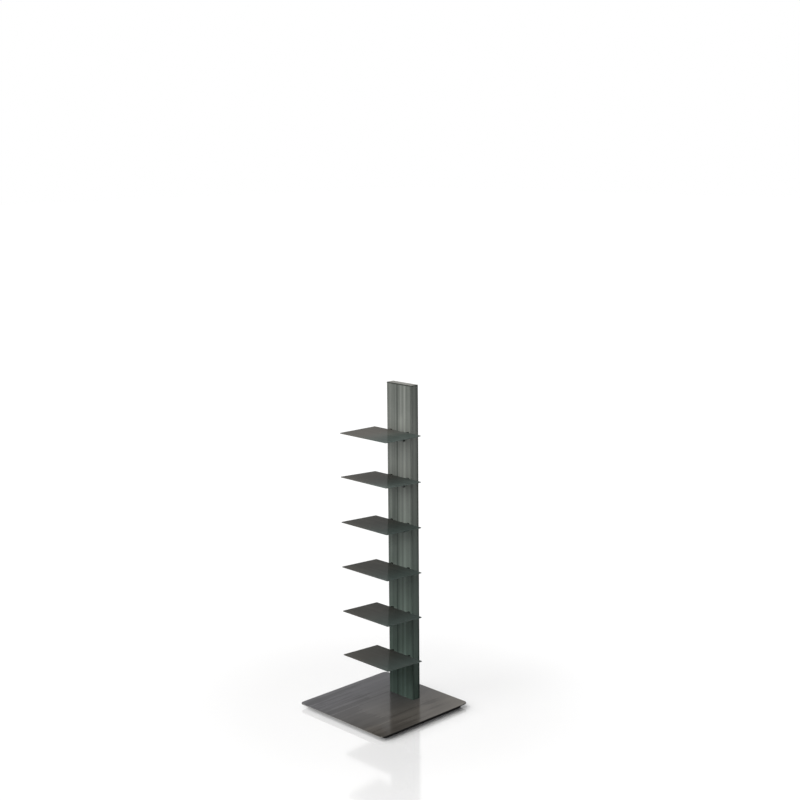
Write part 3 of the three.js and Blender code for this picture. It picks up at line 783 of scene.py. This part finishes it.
def makeBracket(number):
    place, rise = shelfPlace(number)
    half = shelfBracket["width"] / 2
    back = columnChannel["shelfGap"] - shelfBracket["seatGap"]
    front = -shelfBracket["reach"]
    foot = -columnChannel["bracketDrop"]
    topAtFront = (shelfBracket["reach"] * math.tan(rise) - shelfSheet["thickness"] / math.cos(rise)
                  - shelfBracket["seatGap"])
    bracket = addBox("bracketFold_%d" % number, (-half, front, foot), (half, back, 0))
    roundEdges(bracket, lambda edge: upright(edge) and edge.verts[0].co.y > back - tiny,
               shelfBracket["foldRadius"], shelfBracket["foldSteps"])
    pick(bracket, "FACE", lambda face: True)
    bpy.ops.mesh.bisect(plane_co=(0, front, topAtFront), plane_no=(0, math.sin(rise), math.cos(rise)),
                        clear_outer=True, use_fill=True)  # along the underside of the shelf
    bpy.ops.object.mode_set(mode="OBJECT")
    webFront = back - shelfBracket["thickness"]
    inner = half - shelfBracket["thickness"]
    cutAway(bracket, [addBox("hollow", (-inner, front - overrun, foot - overrun), (inner, webFront, sheetCut))])
    cutAway(bracket, [addBox("step", (-half - overrun, -shelfBracket["setback"], -shelfBracket["topDrop"]),
                             (half + overrun, back + overrun, sheetCut))])
    footEnd = webFront - shelfBracket["footLength"]
    curveEnd = front + (footEnd - front) * shelfBracket["curveShare"]
    noseFoot = topAtFront - shelfBracket["nose"]
    curve = addDrum("curve", (-half - overrun, 0, 0), footEnd - curveEnd, 2 * half + 2 * overrun, sides=96,
                    turn=(0, math.pi / 2, 0))
    curve.scale = (1, 1, (noseFoot - foot) / (footEnd - curveEnd))
    curve.location = (0, curveEnd, foot)
    settlePlace(curve)
    cutAway(bracket, [curve])
    cutAway(bracket, [addBox("noseCut", (-half - overrun, front - overrun, foot - overrun),
                             (half + overrun, curveEnd, noseFoot))])
    cutAway(bracket, [addDrum("hole", (side * columnChannel["screwSide"], webFront - overrun,
                                       -columnChannel["screwDrop"]),
                              columnChannel["screwHole"], sheetCut, sides=24, turn=(-math.pi / 2, 0, 0))
                      for side in (-1, 1)])
    bracket.location = place
    settlePlace(bracket)
    standFor(bracket, "shelf_bracket_%d" % number, "bracket")


for number in shelfNumbers:
    makeBracket(number)
print("brackets made")


# Weld beads: the rippled seam between each cheek and the shelf

weldBead = {"radius": 1.1 * mm, "length": 38 * mm, "ripples": 16, "rippleShare": 0.78, "start": 4 * mm,
            "smoothAngle": math.radians(60)}


def makeWeldBeads():
    bead = addDrum("weldBead", (0, 0, 0), weldBead["radius"], weldBead["length"], sides=12,
                   turn=(math.pi / 2, 0, 0))
    pick(bead, "EDGE", lambda edge: abs(edge.verts[0].co.y - edge.verts[1].co.y) > weldBead["length"] / 2)
    bpy.ops.mesh.subdivide(number_cuts=2 * weldBead["ripples"] - 1)
    step = weldBead["length"] / (2 * weldBead["ripples"])
    pick(bead, "EDGE", lambda edge: all(round(-corner.co.y / step) % 2 == 0 for corner in edge.verts))
    share = weldBead["rippleShare"]
    bpy.ops.transform.resize(value=(share, 1, share))
    bpy.ops.object.mode_set(mode="OBJECT")
    for number in shelfNumbers:
        place, rise = shelfPlace(number)
        for side, sideName in ((-1, "left"), (1, "right")):
            start = (side * shelfBracket["width"] / 2, place[1] - weldBead["start"],
                     place[2] - shelfSheet["thickness"] + weldBead["start"] * math.tan(rise))
            seam = copyPiece(bead, "weldBead_%d_%s" % (number, sideName), start, turn=(-rise, 0, 0))
            makeActive(seam)
            bpy.ops.object.shade_smooth_by_angle(angle=weldBead["smoothAngle"])
            seam.data.materials.append(slotMaterials["bracket"])
            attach(seam, standBody)
    bpy.data.objects.remove(bead, do_unlink=True)


makeWeldBeads()
print("weld beads made")


# Studio: a pale polished floor that glows a little, a white surround and soft lights. A sun that lights
# only the floor gives it the object's cast shadow. Sizes and places are in metres.

studio = {
    "floorHalf": 30, "floorDepth": 5 * mm, "floorLit": 0.06, "floorGlowTint": "#ffffff",
    "floorGlow": 0.835, "farGlow": 1, "glowFrom": 0.3, "glowTo": 0.9,
    "floorGlossIor": 2.3, "floorGlossRoughness": 0.1, "mostPolish": 0.34, "polishTo": 1.2, "dullFrom": 2.2,
    "skyReach": 0.1, "skyLean": (-0.84, -0.54, 0.12), "skySamples": 8, "skyOpen": 0.5, "surround": 0.12,
    "floorSun": {"strength": 4.2, "width": math.radians(18), "at": (-0.28, -0.96, 1.6)},
    "lamps": [
        {"name": "keyLamp", "power": 6, "size": 0.9, "at": (-0.45, -0.95, 1.15), "to": (0, 0, 0.75),
         "tint": "#fffaf4"},
        {"name": "frontLamp", "power": 7.5, "size": 0.8, "at": (0.35, -1.1, 0.85), "to": (0, 0, 0.65),
         "tint": "#ffffff"},
        {"name": "highLamp", "power": 6.5, "size": 0.5, "at": (0.45, -0.8, 1.1), "to": (0, 0, 0.85),
         "tint": "#fffcfa"},
        {"name": "sideLamp", "power": 1.2, "size": 0.5, "at": (0.7, 0.1, 1.0), "to": (0, 0, 0.85),
         "tint": "#ffffff"},
        {"name": "backLamp", "power": 4, "size": 0.9, "at": (-0.35, 1.3, 1.0), "to": (0, 0, 0.55),
         "tint": "#ffffff", "mirrored": False},
        {"name": "topLamp", "power": 14, "size": 1.0, "at": (0.1, -0.1, 1.9), "to": (0, 0, 0.5),
         "tint": "#fff8f6"},
    ],
}


def addLamp(plan):
    light = bpy.data.lights.new(plan["name"], "AREA")
    light.energy = plan["power"]
    light.size = plan["size"]
    light.color = linearColour(plan["tint"])[:3]
    lamp = bpy.data.objects.new(plan["name"], light)
    bpy.context.scene.collection.objects.link(lamp)
    lamp.location = plan["at"]
    lamp.rotation_euler = (Vector(plan["at"]) - Vector(plan["to"])).to_track_quat("Z", "Y").to_euler()
    lamp.visible_camera = False
    lamp.visible_glossy = plan.get("mirrored", True)


def seenDirectly(tree):  # 1 for camera, glossy and transmission rays
    path = addNode(tree, "ShaderNodeLightPath", {}, {}).outputs
    seen = addNode(tree, "ShaderNodeMath", {"operation": "ADD"},
                   {0: path["Is Camera Ray"], 1: path["Is Glossy Ray"]})
    return addNode(tree, "ShaderNodeMath", {"operation": "ADD", "use_clamp": True},
                   {0: seen.outputs[0], 1: path["Is Transmission Ray"]}).outputs[0]


def makeStudio():
    half = studio["floorHalf"]
    floor = addBox("floor", (-half, -half, -studio["floorDepth"]), (half, half, 0))
    material = newMaterial("paleFloor")
    tree = material.node_tree
    place = addNode(tree, "ShaderNodeTexCoord", {}, {}).outputs["Object"]
    trace = (1e-6, 1e-6, 1e-6)  # of the place, since a normal that never changes would be ignored
    # painted shade: the glow is dimmed where the floor sees little sky, with the sky leaned to the front left
    lean = addNode(tree, "ShaderNodeVectorMath", {"operation": "MULTIPLY_ADD"},
                   {0: place, 1: trace, 2: studio["skyLean"]})
    sky = addNode(tree, "ShaderNodeAmbientOcclusion", {"samples": studio["skySamples"]},
                  {"Distance": studio["skyReach"], "Normal": lean.outputs[0]})  # how much sky the floor sees
    away = addNode(tree, "ShaderNodeVectorMath", {"operation": "LENGTH"}, {0: place}).outputs["Value"]
    # painted shade: the glow is lower near the object
    level = addNode(tree, "ShaderNodeMapRange", {"interpolation_type": "SMOOTHSTEP"},
                    {"Value": away, "From Min": studio["glowFrom"], "From Max": studio["glowTo"],
                     "To Min": studio["floorGlow"], "To Max": studio["farGlow"]})
    openSky = addNode(tree, "ShaderNodeMapRange", {"interpolation_type": "SMOOTHSTEP"},
                      {"Value": sky.outputs["AO"], "From Max": studio["skyOpen"]})
    share = addNode(tree, "ShaderNodeMath", {"operation": "MULTIPLY"},
                    {0: openSky.outputs[0], 1: level.outputs[0]})
    glow = addNode(tree, "ShaderNodeEmission", {}, {"Color": linearColour(studio["floorGlowTint"]),
                                                    "Strength": share.outputs[0]})
    lit = studio["floorLit"]
    plain = addNode(tree, "ShaderNodeBsdfDiffuse", {}, {"Color": (lit, lit, lit, 1)})
    seen = addNode(tree, "ShaderNodeAddShader", {}, {0: glow.outputs[0], 1: plain.outputs[0]})
    gloss = addNode(tree, "ShaderNodeBsdfGlossy", {}, {"Roughness": studio["floorGlossRoughness"]})
    edge = addNode(tree, "ShaderNodeFresnel", {}, {"IOR": studio["floorGlossIor"]})
    # the far floor is dull, so that it stays as white as the sky
    most = addNode(tree, "ShaderNodeMapRange", {},
                   {"Value": away, "From Min": studio["polishTo"], "From Max": studio["dullFrom"],
                    "To Min": studio["mostPolish"], "To Max": 0})
    held = addNode(tree, "ShaderNodeMath", {"operation": "MINIMUM"}, {0: edge.outputs[0], 1: most.outputs[0]})
    polished = addNode(tree, "ShaderNodeMixShader", {},
                       {0: held.outputs[0], 1: seen.outputs[0], 2: gloss.outputs[0]})
    both = addNode(tree, "ShaderNodeMixShader", {},
                   {0: seenDirectly(tree), 1: plain.outputs[0], 2: polished.outputs[0]})
    addNode(tree, "ShaderNodeOutputMaterial", {}, {"Surface": both.outputs[0]})
    floor.data.materials.append(material)

    world = bpy.data.worlds.new("surround")
    bpy.context.scene.world = world
    world.use_nodes = True
    tree = world.node_tree
    tree.nodes.clear()
    dim = addNode(tree, "ShaderNodeBackground", {}, {"Color": (1, 1, 1, 1), "Strength": studio["surround"]})
    white = addNode(tree, "ShaderNodeBackground", {}, {"Color": (1, 1, 1, 1), "Strength": 1})
    mixed = addNode(tree, "ShaderNodeMixShader", {},
                    {0: seenDirectly(tree), 1: dim.outputs[0], 2: white.outputs[0]})
    addNode(tree, "ShaderNodeOutputWorld", {}, {"Surface": mixed.outputs[0]})
    for plan in studio["lamps"]:
        addLamp(plan)

    sunPlan = studio["floorSun"]
    light = bpy.data.lights.new("floorSun", "SUN")
    light.energy = sunPlan["strength"]
    light.angle = sunPlan["width"]
    sun = bpy.data.objects.new("floorSun", light)
    bpy.context.scene.collection.objects.link(sun)
    sun.rotation_euler = Vector(sunPlan["at"]).to_track_quat("Z", "Y").to_euler()
    onlyFloor = bpy.data.collections.new("onlyFloor")
    onlyFloor.objects.link(floor)
    sun.light_linking.receiver_collection = onlyFloor


makeStudio()
print("studio made")


# Camera, matched to the edges of the base, the column and the shelves

view = {"at": (2.83846, -2.67899, 1.64774), "lens": 63.384, "sensor": 36,  # in metres, then in millimetres
        "yaw": -45.8507, "pitch": 10.6019, "roll": 0.4724}  # in degrees


def makeCamera():
    yaw, pitch, roll = (math.radians(view[name]) for name in ("yaw", "pitch", "roll"))
    ahead = (math.sin(yaw) * math.cos(pitch), math.cos(yaw) * math.cos(pitch), -math.sin(pitch))
    right = (math.cos(yaw), -math.sin(yaw), 0)
    down = (ahead[1] * right[2] - ahead[2] * right[1], ahead[2] * right[0] - ahead[0] * right[2],
            ahead[0] * right[1] - ahead[1] * right[0])
    across = [r * math.cos(roll) + d * math.sin(roll) for r, d in zip(right, down)]
    below = [d * math.cos(roll) - r * math.sin(roll) for r, d in zip(right, down)]
    camera = bpy.data.objects.new("camera", bpy.data.cameras.new("camera"))
    camera.data.lens = view["lens"]
    camera.data.sensor_width = view["sensor"]
    rows = [[across[i], -below[i], -ahead[i], view["at"][i]] for i in range(3)]
    camera.matrix_world = Matrix(rows + [[0, 0, 0, 1]])
    bpy.context.scene.collection.objects.link(camera)
    bpy.context.scene.camera = camera


makeCamera()
print("camera placed")

bpy.context.scene.view_settings.view_transform = "Standard"
